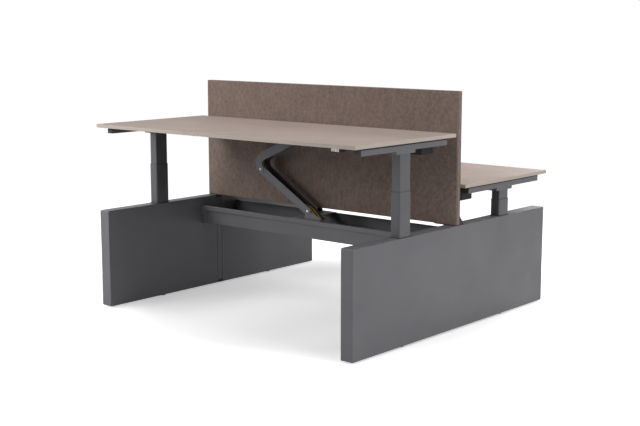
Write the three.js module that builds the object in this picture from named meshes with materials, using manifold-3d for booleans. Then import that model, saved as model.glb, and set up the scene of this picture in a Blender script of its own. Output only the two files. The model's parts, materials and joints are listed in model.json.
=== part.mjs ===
import * as THREE from 'three';
import { mergeVertices } from 'three/addons/utils/BufferGeometryUtils.js';
import Module from 'manifold-3d';

const wasm = await Module();
wasm.setup();

// Benching desk for two, in millimetres. X runs along the desks, Y from the front desk to the
// rear desk, Z up from the floor. The origin is on the floor in the middle of the desk.

// Desktops
const TOP_LENGTH = 1800;
const TOP_DEPTH = 800;
const TOP_THICK = 18;
const TOP_EDGE = 1.5;
const TOP_CORNER = 3;
const TOP_GAP = 90;
const FRONT_HEIGHT = 1010;
const REAR_HEIGHT = 745;
const STROKE = 650;

// End panels of folded sheet steel
const SHEET = 2;
const PANEL_INSET = 10;
const PANEL_THICK = 70;
const PANEL_HEIGHT = 540;
const PANEL_FOLD = 4;
const PANEL_CORNER = 7;
const PANEL_FLANGE = 12;
const COVER_GAP = 0.5;
const FLOOR_GAP = 8;

// Levelling feet
const FOOT_RADIUS = 22;
const FOOT_PAD = 4;
const FOOT_EDGE = 1;
const FOOT_COLLAR = 9;
const FOOT_COLLAR_TALL = 2;
const FOOT_STUD = 5;
const FOOT_STUD_TOP = 22;
const STUD_PLAY = 0.3;

// Lifting columns of three stages
const COLUMN_Y = 440;
const COLUMN_DEEP = 84;
const COLUMN_WALL = 2;
const COLUMN_PLAY = 1;
const COLUMN_ROUND = 5;
const COLUMN_SHOW = 40;
const COLUMN_FLOOR = 12;
const DRIVE_PLATE = 4;
const MOTOR_LENGTH = 150;
const MOTOR_PLAY = 2;
const SPINDLE_RADIUS = 8;

// Side bars with a deeper head over each column
const BAR_WALL = 3;
const BAR_WIDE = 38;
const BAR_LENGTH = 680;
const BAR_HEIGHT = 35;
const HEAD_LENGTH = 150;
const HEAD_HEIGHT = 50;
const HEAD_GAP = 2;
const HOLE_PLAY = 0.3;

// Crossbar and the sleeve that stiffens its middle
const CROSSBAR_DEEP = 40;
const CROSSBAR_DROP = 9;
const CROSSBAR_WALL = 2;
const CROSSBAR_ROUND = 4;
const SLEEVE_LENGTH = 1172;
const SLEEVE_WALL = 4;

// Control box
const CONTROL_LENGTH = 250;
const CONTROL_DEEP = 95;
const CONTROL_HEIGHT = 80;
const CONTROL_Y = 178;
const CONTROL_GAP = 8;
const CONTROL_ROUND = 4;
const SOCKET_COUNT = 3;
const SOCKET_WIDE = 14;
const SOCKET_STEP = 21;
const SOCKET_TALL = 10;
const SOCKET_DEEP = 3;

// Handset with two press buttons
const HANDSET_INSET = 118;
const HANDSET_WIDE = 48;
const HANDSET_DEEP = 45;
const HANDSET_TALL = 17;
const HANDSET_SETBACK = 3;
const HANDSET_ROUND = 3;
const BUTTON_WIDE = 15;
const BUTTON_TALL = 9;
const BUTTON_DEEP = 6.5;
const BUTTON_PROUD = 1.5;
const BUTTON_PLAY = 0.4;
const BUTTON_TRAVEL = 1.2;
const BUTTON_SPARE = 0.6;
const BUTTON_ROUND = 1.5;

// Cable tray between the panels
const TRAY_DROP = 47;
const TRAY_DEPTH = 102;
const TRAY_WIDE = 308;
const TRAY_LIP = 13;
const TRAY_LIP_TALL = 25;
const TRAY_BEND = 2;
const END_SHEET = 3;
const END_WIDE = 46;
const END_HEADROOM = 2;

// Lift-off strip in the inner face of each panel, over the way of the supply cables
const STRIP_WIDE = 36;
const STRIP_GAP = 2;
const EXIT_TALL = 12;
const PASS_WIDE = 28;
const PASS_TALL = 36;
const PASS_RISE = 12;

// Screen and its brackets
const SCREEN_INSET = 12;
const SCREEN_THICK = 38;
const SCREEN_HEIGHT = 675;
const SCREEN_ROUND = 6;
const FABRIC_THICK = 4;
const BRACKET_SHEET = 3;
const BRACKET_REACH = 130;
const BRACKET_SETBACK = 6;
const UPSTAND_TALL = 45;
const LEG_WIDE = 52;
const LEG_TALL = 15;
const GUSSET_DEEP = 40;

// Folding cable arms
const ARM_Y = 110;
const ARM_LENGTH = 400;
const ARM_SHEET = 2;
const ARM_PLAY = 1;
const LOWER_ROUND = 23;
const LOWER_HALF = 31;
const UPPER_ROUND = 24;
const CRANK_BEND = 54;
const CRANK_RISE = 62;
const CRANK_LEAN = 2;
const HEAD_RISE = 14;
const ARM_FOLDED = THREE.MathUtils.degToRad(0.3);
const PIVOT_RISE = 45;
const PIVOT_PIN = 5;
const PIN_PLAY = 0.3;
const WEB_START = 45;
const WEB_END = 30;
const CARRIER_SHEET = 3;
const CARRIER_MARGIN = 10;
const ARM_STAGGER = 150;
const FORK_ROUND = 14;
const FORK_HEEL = 25;
const FORK_REACH = 88;
const PORT_MARGIN = 10;
const FORK_SHEET = 2.5;
const HANGER_DROP = 45;
const HANGER_SHEET = 3;
const HANGER_HALF_WIDE = 22;
const HANGER_PIN = 4;
const HANGER_EASE = 4;
const HANGER_BEND = 5;

const BEND_STEPS = 4;
const BEVEL_STEPS = 2;
const ROUND_STEPS = 2;
const CIRCLE_STEPS = 24;
const CLEAR = 20;
const MERGE = 1;
const WELD = 1e-4;

// Sizes that follow from the ones above
const LOWEST_HEIGHT = PANEL_HEIGHT + COLUMN_SHOW + HEAD_GAP + HEAD_HEIGHT + TOP_THICK;
const HIGHEST_HEIGHT = LOWEST_HEIGHT + STROKE;
const PANEL_X = TOP_LENGTH / 2 - PANEL_INSET;
const PANEL_INNER_X = PANEL_X - PANEL_THICK;
const PANEL_LONG = 2 * TOP_DEPTH + TOP_GAP;
const PANEL_TALL = PANEL_HEIGHT - FLOOR_GAP;
const PANEL_MID_Z = (PANEL_HEIGHT + FLOOR_GAP) / 2;
const EXIT_TOP = FLOOR_GAP + SHEET + EXIT_TALL;
const COLUMN_X = PANEL_X - PANEL_THICK / 2;
const STAGE_STEP = COLUMN_WALL + COLUMN_PLAY;
const COLUMN_WIDE = PANEL_THICK - 4 * SHEET - 4 * STAGE_STEP;
const BAR_HALF = COLUMN_WIDE / 2 + BAR_WALL;
const TRAY_TOP = PANEL_HEIGHT - TRAY_DROP;
const TRAY_FLOOR = TRAY_TOP - TRAY_DEPTH;
const TRAY_HALF = TRAY_WIDE / 2;
const TRAY_WALL_Y = TRAY_HALF - TRAY_LIP;
const TRAY_END_X = PANEL_INNER_X - END_SHEET;
const SCREEN_LENGTH = TOP_LENGTH - 2 * SCREEN_INSET;
const SCREEN_BOTTOM = PANEL_HEIGHT + BRACKET_SHEET;
const CARRIER_TOP = TRAY_TOP + CARRIER_SHEET;
const PIVOT_Z = CARRIER_TOP + PIVOT_RISE;
const UPPER_INNER = LOWER_HALF + ARM_PLAY;
const UPPER_HALF = UPPER_INNER + ARM_SHEET;
const HANGER_INNER = UPPER_HALF + ARM_PLAY + COVER_GAP;
const HANGER_OUTER = HANGER_INNER + HANGER_SHEET;
const FORK_OUTER = LOWER_HALF - ARM_SHEET - ARM_PLAY;
const KNEE_OPEN = LOWER_ROUND + 2 * ARM_PLAY;

// The arm folds in step with the lift: its angle grows evenly with the desktop's height.
const armSpan = (height) => height - TOP_THICK - HANGER_DROP - PIVOT_Z;
const ARM_FRONT_ANGLE = Math.asin(armSpan(FRONT_HEIGHT) / (2 * ARM_LENGTH));
const ARM_RATE = (ARM_FRONT_ANGLE - ARM_FOLDED) / (FRONT_HEIGHT - LOWEST_HEIGHT);
const armAngle = (height) => ARM_FOLDED + ARM_RATE * (height - LOWEST_HEIGHT);
const armSlack = (height) => armSpan(height) - 2 * ARM_LENGTH * Math.sin(armAngle(height));
const SLOT_REACH = Math.max(armSlack(LOWEST_HEIGHT), armSlack(HIGHEST_HEIGHT));

const FINISH = {
  steel: { color: 0x6a6a6e, roughness: 0.55, metalness: 0.35 },
  column: { color: 0x68696d, roughness: 0.5, metalness: 0.4 },
  black: { color: 0x1c1c1e, roughness: 0.6, metalness: 0.1 },
  laminate: { color: 0xad9f95, roughness: 0.6, metalness: 0 },
  board: { color: 0xb59a78, roughness: 0.8, metalness: 0 },
  fabric: { color: 0x7a6b62, roughness: 0.95, metalness: 0 },
  white: { color: 0xe8e8e6, roughness: 0.4, metalness: 0 },
  rubber: { color: 0x222222, roughness: 0.9, metalness: 0 },
};

const X_AXIS = new THREE.Vector3(1, 0, 0);
const Y_AXIS = new THREE.Vector3(0, 1, 0);
const Z_AXIS = new THREE.Vector3(0, 0, 1);
const ALONG = {
  x: new THREE.Matrix4().makeBasis(Y_AXIS, Z_AXIS, X_AXIS),
  y: new THREE.Matrix4().makeBasis(X_AXIS, Z_AXIS, Y_AXIS.clone().negate()),
  z: new THREE.Matrix4(),
};

function toSolid(geometry) {
  const bare = geometry.clone();
  bare.deleteAttribute('normal');
  bare.deleteAttribute('uv');
  const welded = mergeVertices(bare, WELD);
  const mesh = new wasm.Mesh({
    numProp: 3,
    vertProperties: new Float32Array(welded.attributes.position.array),
    triVerts: new Uint32Array(welded.index.array),
  });
  mesh.merge();
  return new wasm.Manifold(mesh);
}

function box(xs, ys, zs) {
  const geometry = new THREE.BoxGeometry(xs[1] - xs[0], ys[1] - ys[0], zs[1] - zs[0]);
  geometry.translate((xs[0] + xs[1]) / 2, (ys[0] + ys[1]) / 2, (zs[0] + zs[1]) / 2);
  return toSolid(geometry);
}

// A shape pushed from one place to another along an axis. Across X the shape lies in Y and Z,
// across Y in X and Z, and across Z in X and Y.
function prism(axis, shape, from, to, at = [0, 0], edge = 0) {
  const geometry = new THREE.ExtrudeGeometry(shape, {
    depth: to - from - 2 * edge,
    bevelEnabled: edge > 0,
    bevelSize: edge,
    bevelThickness: edge,
    bevelOffset: -edge,
    bevelSegments: BEVEL_STEPS,
    curveSegments: ROUND_STEPS,
  });
  geometry.translate(at[0], at[1], (from - to) / 2 + edge);
  geometry.applyMatrix4(ALONG[axis]);
  const middle = (from + to) / 2;
  geometry.translate(axis === 'x' ? middle : 0, axis === 'y' ? middle : 0, axis === 'z' ? middle : 0);
  return toSolid(geometry);
}

function roundRect(wide, tall, radius) {
  const shape = new THREE.Shape();
  const w = wide / 2 - radius;
  const h = tall / 2 - radius;
  shape.absarc(w, h, radius, 0, Math.PI / 2);
  shape.absarc(-w, h, radius, Math.PI / 2, Math.PI);
  shape.absarc(-w, -h, radius, Math.PI, 1.5 * Math.PI);
  shape.absarc(w, -h, radius, 1.5 * Math.PI, 2 * Math.PI);
  shape.closePath();
  return shape;
}

function polygon(points) {
  return new THREE.Shape(points.map(([u, v]) => new THREE.Vector2(u, v)));
}

function circle(radius) {
  const points = [];
  for (let i = 0; i < CIRCLE_STEPS; i += 1) {
    const turn = (2 * Math.PI * i) / CIRCLE_STEPS;
    points.push([radius * Math.cos(turn), radius * Math.sin(turn)]);
  }
  return polygon(points);
}

// A bar with round ends from one pivot to another, at an angle
function link(start, angle, length, radius) {
  const points = [];
  for (let i = 0; i <= CIRCLE_STEPS; i += 1) {
    const far = i <= CIRCLE_STEPS / 2 ? length : 0;
    const turn = angle - Math.PI / 2 + (2 * Math.PI * i) / CIRCLE_STEPS;
    points.push([
      start[0] + far * Math.cos(angle) + radius * Math.cos(turn),
      start[1] + far * Math.sin(angle) + radius * Math.sin(turn),
    ]);
    if (i === CIRCLE_STEPS / 2) {
      points.push([start[0] + radius * Math.cos(turn), start[1] + radius * Math.sin(turn)]);
    }
  }
  points.pop();
  return polygon(points);
}

// The point that lies u along a slanted line and v square to it
function beside(start, angle, u, v) {
  return [
    start[0] + u * Math.cos(angle) - v * Math.sin(angle),
    start[1] + u * Math.sin(angle) + v * Math.cos(angle),
  ];
}

// A strip along a pivot line: u along the line, v square to it
function strip(start, angle, us, vs) {
  const corners = [[us[0], vs[0]], [us[1], vs[0]], [us[1], vs[1]], [us[0], vs[1]]];
  return polygon(corners.map(([u, v]) => beside(start, angle, u, v)));
}

// The cut face of a folded sheet: a centre line with round bends, half the sheet to each side
function foldedSheet(corners, thickness, bend) {
  const path = corners.map(([u, v]) => new THREE.Vector2(u, v));
  const line = [path[0]];
  for (let i = 1; i < path.length - 1; i += 1) {
    const from = path[i].clone().add(path[i - 1].clone().sub(path[i]).setLength(bend));
    const to = path[i].clone().add(path[i + 1].clone().sub(path[i]).setLength(bend));
    line.push(...new THREE.QuadraticBezierCurve(from, path[i], to).getPoints(BEND_STEPS));
  }
  line.push(path[path.length - 1]);
  const last = line.length - 1;
  const offset = (reach) => line.map((point, i) => {
    const into = line[Math.max(i, 1)].clone().sub(line[Math.max(i, 1) - 1]).normalize();
    const out = line[Math.min(i, last - 1) + 1].clone().sub(line[Math.min(i, last - 1)]).normalize();
    const mean = into.clone().add(out).normalize();
    const scale = reach / mean.dot(into);
    return point.clone().add(new THREE.Vector2(-mean.y * scale, mean.x * scale));
  });
  return new THREE.Shape([...offset(thickness / 2), ...offset(-thickness / 2).reverse()]);
}

function turned(solid) {
  return solid.rotate([0, 0, 180]);
}

const bench = new THREE.Group();
bench.name = 'benching_desk';

function add(name, solid, finish) {
  const mesh = solid.getMesh();
  const geometry = new THREE.BufferGeometry();
  geometry.setAttribute('position', new THREE.BufferAttribute(new Float32Array(mesh.vertProperties), 3));
  geometry.setIndex(new THREE.BufferAttribute(new Uint32Array(mesh.triVerts), 1));
  const flat = geometry.toNonIndexed();
  flat.computeVertexNormals();
  const node = new THREE.Mesh(flat, new THREE.MeshStandardMaterial(FINISH[finish]));
  node.name = name;
  bench.add(node);
}

// Hollow end panel, open on its inner side, where a return flange carries the cover
function panelShell() {
  const at = [0, PANEL_MID_Z];
  const blank = prism('x', roundRect(PANEL_LONG, PANEL_TALL, PANEL_CORNER),
    PANEL_INNER_X - PANEL_FOLD, PANEL_X, at, PANEL_FOLD);
  const inside = roundRect(PANEL_LONG - 2 * SHEET, PANEL_TALL - 2 * SHEET, PANEL_CORNER - SHEET);
  const mouthTrim = 2 * (SHEET + PANEL_FLANGE);
  const mouth = roundRect(PANEL_LONG - mouthTrim, PANEL_TALL - mouthTrim, PANEL_CORNER);
  let shell = blank
    .subtract(prism('x', roundRect(PANEL_LONG + CLEAR, PANEL_TALL + CLEAR, PANEL_CORNER),
      PANEL_INNER_X - CLEAR, PANEL_INNER_X, at))
    .subtract(prism('x', inside, PANEL_INNER_X - CLEAR, PANEL_INNER_X + SHEET, at))
    .subtract(prism('x', mouth, PANEL_INNER_X, PANEL_INNER_X + CLEAR, at))
    .subtract(prism('x', inside, PANEL_INNER_X + 2 * SHEET, PANEL_X - SHEET, at));
  const port = stageSection(1, COLUMN_PLAY);
  for (const y of [-COLUMN_Y, COLUMN_Y]) {
    shell = shell
      .subtract(prism('z', port, PANEL_HEIGHT - CLEAR / 2, PANEL_HEIGHT + CLEAR, [COLUMN_X, y]))
      .subtract(prism('z', circle(FOOT_STUD + STUD_PLAY), 0, FLOOR_GAP + CLEAR / 2, [COLUMN_X, y]));
  }
  return shell.subtract(box([PANEL_INNER_X - CLEAR, PANEL_INNER_X + CLEAR],
    [-STRIP_WIDE / 2, STRIP_WIDE / 2], [FLOOR_GAP + SHEET, EXIT_TOP]));
}

// Half of the panel's inner face, to one side of the cable strip
function panelCover(sign) {
  const trim = 2 * (SHEET + COVER_GAP);
  const face = prism('x', roundRect(PANEL_LONG - trim, PANEL_TALL - trim, PANEL_CORNER - SHEET),
    PANEL_INNER_X, PANEL_INNER_X + SHEET, [0, PANEL_MID_Z]);
  const edge = STRIP_WIDE / 2 + STRIP_GAP;
  const ys = [sign * edge, sign * PANEL_LONG].sort((a, b) => a - b);
  return face.intersect(box([0, PANEL_X], ys, [0, PANEL_HEIGHT]));
}

// Hole through the tray's end and the strip, where cables pass from the panel into the tray
function cablePass() {
  return box([TRAY_END_X - MERGE, PANEL_INNER_X + SHEET + MERGE], [-PASS_WIDE / 2, PASS_WIDE / 2],
    [TRAY_FLOOR + PASS_RISE, TRAY_FLOOR + PASS_RISE + PASS_TALL]);
}

// Cover strip that ends above the floor, where the cables come out
function cableStrip() {
  return box([PANEL_INNER_X, PANEL_INNER_X + SHEET], [-STRIP_WIDE / 2, STRIP_WIDE / 2],
    [EXIT_TOP, PANEL_HEIGHT - SHEET - COVER_GAP]).subtract(cablePass());
}

function levellingFoot(x, y) {
  const outline = [
    [0, 0],
    [FOOT_RADIUS - FOOT_EDGE, 0],
    [FOOT_RADIUS, FOOT_EDGE],
    [FOOT_RADIUS, FOOT_PAD],
    [FOOT_COLLAR, FLOOR_GAP - FOOT_COLLAR_TALL],
    [FOOT_COLLAR, FLOOR_GAP],
    [FOOT_STUD, FLOOR_GAP],
    [FOOT_STUD, FOOT_STUD_TOP],
    [0, FOOT_STUD_TOP],
  ].map(([r, z]) => new THREE.Vector2(r, z));
  const geometry = new THREE.LatheGeometry(outline, CIRCLE_STEPS);
  geometry.rotateX(Math.PI / 2);
  geometry.translate(x, y, 0);
  return toSolid(geometry);
}

// Stage 0 is the thin top tube, 1 the middle one and 2 the wide tube inside the panel
function stageSection(stage, grow = 0) {
  const more = 2 * (stage * STAGE_STEP + grow);
  return roundRect(COLUMN_WIDE + more, COLUMN_DEEP + more, COLUMN_ROUND + stage * STAGE_STEP + grow);
}

function stageTube(stage, from, to, x, y) {
  const outer = prism('z', stageSection(stage), from, to, [x, y]);
  return outer.subtract(prism('z', stageSection(stage, -COLUMN_WALL), from - CLEAR, to + CLEAR, [x, y]));
}

// Motor under its mounting plate, with the lifting spindle below it
function columnDrive(under, bottom, x, y) {
  const plate = prism('z', stageSection(0, -HOLE_PLAY), under - DRIVE_PLATE, under, [x, y]);
  const motorRadius = COLUMN_WIDE / 2 - COLUMN_WALL - MOTOR_PLAY;
  const motorFoot = under - DRIVE_PLATE - MOTOR_LENGTH;
  const motor = prism('z', circle(motorRadius), motorFoot, under - DRIVE_PLATE / 2, [x, y]);
  const spindle = prism('z', circle(SPINDLE_RADIUS), bottom, motorFoot + CLEAR, [x, y]);
  return plate.add(motor).add(spindle);
}

function sideBar(under, x, y) {
  const barX = x + Math.sign(x) * (BAR_HALF - BAR_WIDE / 2);
  const trough = (middle, wide, long, tall, wall) => box(
    [middle - wide / 2 + wall, middle + wide / 2 - wall],
    [y - long / 2 + wall, y + long / 2 - wall],
    [under - tall + wall, under + wall * CLEAR],
  );
  const head = (wall) => trough(x, 2 * BAR_HALF, HEAD_LENGTH, HEAD_HEIGHT, wall);
  const bar = (wall) => trough(barX, BAR_WIDE, BAR_LENGTH, BAR_HEIGHT, wall);
  return head(0)
    .add(bar(0))
    .subtract(head(BAR_WALL))
    .subtract(bar(BAR_WALL))
    .subtract(prism('z', stageSection(0, HOLE_PLAY), under - HEAD_HEIGHT - CLEAR,
      under - HEAD_HEIGHT + CLEAR / 2, [x, y]));
}

function crossbar(under, y) {
  const half = COLUMN_X - BAR_HALF;
  const middle = under - CROSSBAR_DROP - CROSSBAR_DEEP / 2;
  const at = [y, middle];
  const tube = roundRect(CROSSBAR_DEEP, CROSSBAR_DEEP, CROSSBAR_ROUND);
  const bore = CROSSBAR_DEEP - 2 * CROSSBAR_WALL;
  const hollow = roundRect(bore, bore, CROSSBAR_ROUND - CROSSBAR_WALL);
  return prism('x', tube, -half, half, at)
    .subtract(prism('x', hollow, -half - CLEAR, half + CLEAR, at));
}

function crossbarSleeve(under, y) {
  const side = CROSSBAR_DEEP / 2 + SLEEVE_WALL / 2;
  const floor = under - CROSSBAR_DROP - CROSSBAR_DEEP - SLEEVE_WALL / 2;
  const section = foldedSheet([
    [y - side, under],
    [y - side, floor],
    [y + side, floor],
    [y + side, under],
  ], SLEEVE_WALL, SLEEVE_WALL);
  return prism('x', section, -SLEEVE_LENGTH / 2, SLEEVE_LENGTH / 2);
}

function desktop(height, y) {
  return prism('z', roundRect(TOP_LENGTH, TOP_DEPTH, TOP_CORNER), height - TOP_THICK, height,
    [0, y], TOP_EDGE);
}

function controlBox(under, y) {
  const end = COLUMN_X - BAR_HALF - CONTROL_GAP;
  const start = end - CONTROL_LENGTH;
  let body = prism('x', roundRect(CONTROL_DEEP, CONTROL_HEIGHT, CONTROL_ROUND), start, end,
    [y, under - CONTROL_HEIGHT / 2]);
  for (let i = 0; i < SOCKET_COUNT; i += 1) {
    const socketY = y + (i - (SOCKET_COUNT - 1) / 2) * SOCKET_STEP;
    body = body.subtract(box(
      [start - CLEAR, start + SOCKET_DEEP],
      [socketY - SOCKET_WIDE / 2, socketY + SOCKET_WIDE / 2],
      [under - CONTROL_HEIGHT / 2 - SOCKET_TALL / 2, under - CONTROL_HEIGHT / 2 + SOCKET_TALL / 2],
    ));
  }
  return body;
}

const BUTTON_STEP = HANDSET_WIDE / 4;
const HANDSET_X = TOP_LENGTH / 2 - HANDSET_INSET;
const HANDSET_FACE = TOP_GAP / 2 + TOP_DEPTH - HANDSET_SETBACK;

function buttonBlock(under, slot, grow, depth) {
  const x = HANDSET_X + slot * BUTTON_STEP;
  const face = roundRect(BUTTON_WIDE + 2 * grow, BUTTON_TALL + 2 * grow, BUTTON_ROUND + grow);
  return prism('y', face, -HANDSET_FACE - BUTTON_PROUD, -HANDSET_FACE - BUTTON_PROUD + depth,
    [x, under - HANDSET_TALL / 2]);
}

function handset(under) {
  const body = prism('y', roundRect(HANDSET_WIDE, HANDSET_TALL, HANDSET_ROUND), -HANDSET_FACE,
    -HANDSET_FACE + HANDSET_DEEP, [HANDSET_X, under - HANDSET_TALL / 2]);
  const pocket = BUTTON_DEEP + BUTTON_TRAVEL + BUTTON_SPARE;
  return body
    .subtract(buttonBlock(under, -1, BUTTON_PLAY, pocket))
    .subtract(buttonBlock(under, 1, BUTTON_PLAY, pocket));
}

// Open trough with lips turned out and down along both long sides
function cableTray() {
  const lipY = TRAY_HALF - SHEET / 2;
  const wallY = TRAY_WALL_Y - SHEET / 2;
  const top = TRAY_TOP - SHEET / 2;
  const floor = TRAY_FLOOR + SHEET / 2;
  const section = foldedSheet([
    [-lipY, TRAY_TOP - TRAY_LIP_TALL],
    [-lipY, top],
    [-wallY, top],
    [-wallY, floor],
    [wallY, floor],
    [wallY, top],
    [lipY, top],
    [lipY, TRAY_TOP - TRAY_LIP_TALL],
  ], SHEET, TRAY_BEND);
  return prism('x', section, -TRAY_END_X, TRAY_END_X);
}

// Saddle under the end of the tray with a plate against the panel
function trayEnd() {
  const wallY = TRAY_WALL_Y + END_SHEET / 2;
  const floor = TRAY_FLOOR - END_SHEET / 2;
  const top = TRAY_TOP - SHEET - END_HEADROOM;
  const saddle = foldedSheet([[-wallY, top], [-wallY, floor], [wallY, floor], [wallY, top]],
    END_SHEET, TRAY_BEND);
  const plate = box([TRAY_END_X, PANEL_INNER_X], [-TRAY_WALL_Y - MERGE, TRAY_WALL_Y + MERGE],
    [TRAY_FLOOR - MERGE, top]);
  return prism('x', saddle, PANEL_INNER_X - END_WIDE, PANEL_INNER_X).add(plate).subtract(cablePass());
}

// Shelf on the panel under the screen, a leg on the panel and an upstand behind the screen
function screenBracket() {
  const outer = PANEL_X - BRACKET_SETBACK;
  const inner = outer - BRACKET_REACH;
  const back = SCREEN_THICK / 2;
  const shelf = box([inner, outer], [-back, back + BRACKET_SHEET], [PANEL_HEIGHT, SCREEN_BOTTOM]);
  const upstand = box([inner, outer], [back, back + BRACKET_SHEET],
    [PANEL_HEIGHT, SCREEN_BOTTOM + UPSTAND_TALL]);
  const leg = box([PANEL_INNER_X - BRACKET_SHEET, PANEL_INNER_X], [-LEG_WIDE / 2, LEG_WIDE / 2],
    [PANEL_HEIGHT - LEG_TALL, PANEL_HEIGHT + BRACKET_SHEET / 2]);
  const legShelf = box([PANEL_INNER_X - BRACKET_SHEET, PANEL_INNER_X + BRACKET_SHEET],
    [-LEG_WIDE / 2, LEG_WIDE / 2], [PANEL_HEIGHT, SCREEN_BOTTOM]);
  const gusset = prism('x', polygon([
    [back, PANEL_HEIGHT],
    [back + GUSSET_DEEP, PANEL_HEIGHT],
    [back + GUSSET_DEEP, SCREEN_BOTTOM],
    [back + BRACKET_SHEET, SCREEN_BOTTOM + UPSTAND_TALL],
    [back, SCREEN_BOTTOM + UPSTAND_TALL],
  ]), outer - BRACKET_SHEET, outer);
  return shelf.add(upstand).add(leg).add(legShelf).add(gusset);
}

function screenFabric() {
  const top = SCREEN_BOTTOM + SCREEN_HEIGHT;
  const sleeve = prism('z', roundRect(SCREEN_LENGTH, SCREEN_THICK, SCREEN_ROUND), SCREEN_BOTTOM, top);
  return sleeve.subtract(screenBoard(CLEAR, 0));
}

function screenBoard(below, gap) {
  const trim = 2 * (FABRIC_THICK + gap);
  return prism('z', roundRect(SCREEN_LENGTH - trim, SCREEN_THICK - trim, SCREEN_ROUND - FABRIC_THICK),
    SCREEN_BOTTOM - below, SCREEN_BOTTOM + SCREEN_HEIGHT - FABRIC_THICK - gap);
}

// The arms below are laid out for the front desk.
// The rear arm is turned half round and stands further along the tray.
function rearArm(solid) {
  return turned(solid).translate([-ARM_STAGGER, 0, 0]);
}

const across = (half) => [-ARM_Y - half, -ARM_Y + half];

function pin(radius, half, at) {
  return prism('y', circle(radius), ...across(half), at);
}

// Channel from the fork on the tray up to the knee, its web on the lower side
function lowerArm(height) {
  const angle = Math.PI - armAngle(height);
  const foot = [0, PIVOT_Z];
  const knee = beside(foot, angle, ARM_LENGTH, 0);
  const reach = LOWER_ROUND + MERGE;
  const cut = (us, vs) => prism('y', strip(foot, angle, us, vs), ...across(LOWER_HALF - ARM_SHEET));
  const bore = (at) => pin(PIVOT_PIN + PIN_PLAY, LOWER_HALF + MERGE, at);
  return prism('y', link(foot, angle, ARM_LENGTH, LOWER_ROUND), ...across(LOWER_HALF))
    .subtract(cut([-reach, ARM_LENGTH + reach], [-reach, LOWER_ROUND - ARM_SHEET]))
    .subtract(cut([-reach, WEB_START], [-reach, reach]))
    .subtract(cut([ARM_LENGTH - WEB_END, ARM_LENGTH + reach], [-reach, reach]))
    .subtract(bore(foot))
    .subtract(bore(knee));
}

// Wider, cranked channel from the knee up to the hanger, its web on the upper side.
// The crank lets it lie over the lower channel when the desk is down.
function upperArm(height) {
  const angle = armAngle(height);
  const knee = beside([0, PIVOT_Z], Math.PI - angle, ARM_LENGTH, 0);
  const head = beside(knee, angle, ARM_LENGTH, 0);
  const elbow = beside(knee, angle, CRANK_LEAN, CRANK_RISE);
  const crankAngle = angle + Math.atan2(CRANK_RISE, CRANK_LEAN);
  const crankLength = Math.hypot(CRANK_RISE, CRANK_LEAN);
  const runAngle = angle + Math.atan2(HEAD_RISE - CRANK_RISE, ARM_LENGTH - CRANK_LEAN);
  const runLength = Math.hypot(HEAD_RISE - CRANK_RISE, ARM_LENGTH - CRANK_LEAN);
  const reach = UPPER_ROUND + CLEAR;
  const nose = beside(elbow, runAngle, runLength, 0);
  const band = (inset) => foldedSheet([knee, elbow, nose], 2 * (UPPER_ROUND - inset), CRANK_BEND);
  const cut = (shape) => prism('y', shape, ...across(UPPER_INNER));
  const stub = pin(HANGER_PIN, HANGER_OUTER + MERGE, head)
    .subtract(pin(UPPER_ROUND, UPPER_INNER, head));
  return prism('y', band(0), ...across(UPPER_HALF))
    .add(pin(UPPER_ROUND, UPPER_HALF, knee))
    .add(pin(UPPER_ROUND, UPPER_HALF, nose))
    .subtract(cut(band(ARM_SHEET)))
    .subtract(cut(strip(knee, crankAngle, [-reach, KNEE_OPEN], [-reach, reach])))
    .subtract(cut(strip(knee, crankAngle, [0, crankLength], [-reach, 0])))
    .subtract(cut(strip(elbow, runAngle, [0, runLength], [-reach, 0])))
    .subtract(cut(strip(elbow, runAngle, [runLength - WEB_END, runLength + reach], [-reach, reach])))
    .add(pin(PIVOT_PIN, UPPER_HALF, knee))
    .add(stub);
}

// Folded hanger under the desktop, slotted where the arm's studs ride
function armHanger(height) {
  const under = height - TOP_THICK;
  const pivot = under - HANGER_DROP;
  const tip = pivot - SLOT_REACH - HANGER_EASE - HANGER_PIN * 2;
  const side = HANGER_OUTER - HANGER_SHEET / 2;
  const section = foldedSheet([
    [-ARM_Y - side, tip],
    [-ARM_Y - side, under - HANGER_SHEET / 2],
    [-ARM_Y + side, under - HANGER_SHEET / 2],
    [-ARM_Y + side, tip],
  ], HANGER_SHEET, HANGER_BEND);
  const slot = link([0, pivot - SLOT_REACH - HANGER_EASE], Math.PI / 2, SLOT_REACH + 2 * HANGER_EASE,
    HANGER_PIN + PIN_PLAY);
  return prism('x', section, -HANGER_HALF_WIDE, HANGER_HALF_WIDE)
    .subtract(prism('y', slot, ...across(HANGER_OUTER + CLEAR)));
}

// Fork for one arm: two cheeks that stand inside the arm's channel, and the pivot pin
function armFork() {
  const cheek = prism('y', polygon([
    [-FORK_HEEL, CARRIER_TOP - MERGE],
    [FORK_REACH, CARRIER_TOP - MERGE],
    [FORK_REACH, CARRIER_TOP + FORK_ROUND],
    [FORK_ROUND, PIVOT_Z],
    [-FORK_ROUND, PIVOT_Z],
  ]), ...across(FORK_OUTER)).add(prism('y', circle(FORK_ROUND), ...across(FORK_OUTER), [0, PIVOT_Z]));
  const gap = box([-FORK_HEEL - CLEAR, FORK_REACH + CLEAR], across(FORK_OUTER - FORK_SHEET),
    [CARRIER_TOP, PIVOT_Z + CLEAR]);
  return cheek.subtract(gap).add(pin(PIVOT_PIN, LOWER_HALF, [0, PIVOT_Z]));
}

// Opening in the carrier where cables pass from the tray between the fork's cheeks
function cablePort() {
  const half = FORK_OUTER - FORK_SHEET - COVER_GAP;
  return box([FORK_ROUND + PORT_MARGIN, FORK_REACH - PORT_MARGIN], across(half),
    [TRAY_TOP - CLEAR, CARRIER_TOP + CLEAR / 2]);
}

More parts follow.
